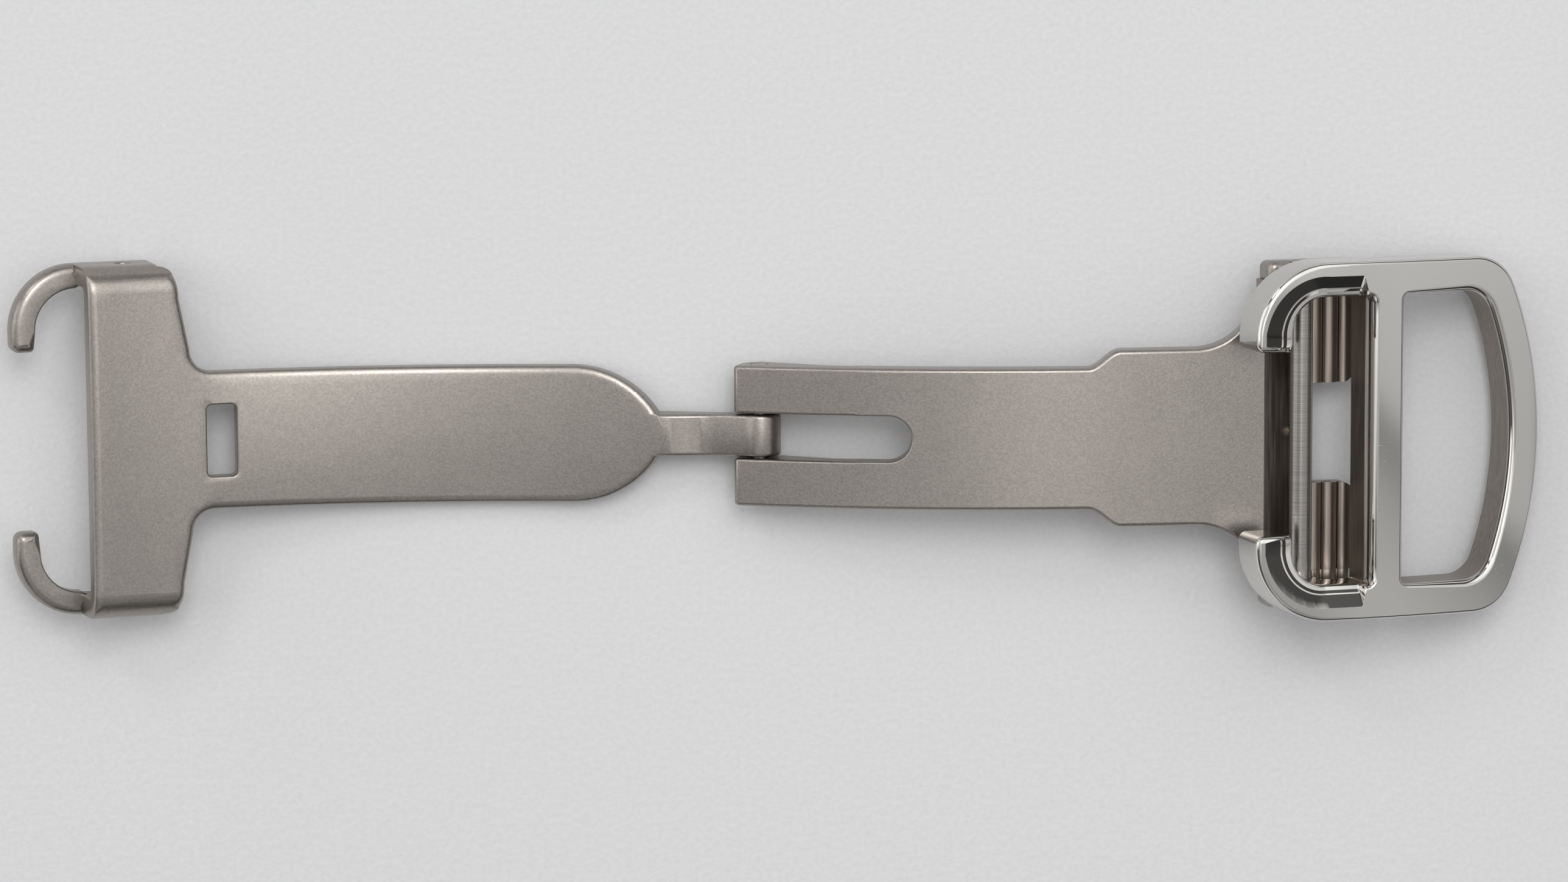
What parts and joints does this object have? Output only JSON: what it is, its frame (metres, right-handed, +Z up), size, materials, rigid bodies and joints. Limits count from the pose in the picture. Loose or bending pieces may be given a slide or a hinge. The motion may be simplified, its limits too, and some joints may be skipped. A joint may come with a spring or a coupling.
{
  "type": "deployant clasp",
  "caption": "Open single-fold deployant clasp for a watch strap: two curved steel blades on a hinge pin, a polished pivoting strap frame, a clawed strap head.",
  "frame": {"origin": "under the middle of the open clasp, on the surface that it lies on", "axes": "+X along the clasp towards the strap frame, +Y across it, +Z up, away from the surface"},
  "size_m": [0.0864, 0.0202, 0.0081],
  "materials": {
    "satin_steel": "bead-blasted",
    "polished_steel": "mirror polished",
    "pin_steel": "turned",
    "grip_steel": "milled ribs"
  },
  "bodies": {
    "outer_half": {"outer_blade": "satin_steel", "hinge_pin": "pin_steel", "frame_pin": "pin_steel", "upper_grip": "grip_steel", "lower_grip": "grip_steel", "catch_tooth": "satin_steel"},
    "inner_half": {"inner_blade": "satin_steel"},
    "strap_frame": {"buckle_frame": "polished_steel"}
  },
  "joints": [
    {"name": "fold_hinge", "type": "hinge", "parent": "outer_half", "child": "inner_half", "pos_m": [-0.00086, 0, 0.00168], "axis": [0, -1, 0], "range_deg": [0, 180]},
    {"name": "frame_hinge", "type": "hinge", "parent": "outer_half", "child": "strap_frame", "pos_m": [0.02964, 0, 0.00368], "axis": [0, -1, 0], "range_deg": [0, 20.5]}
  ]
}
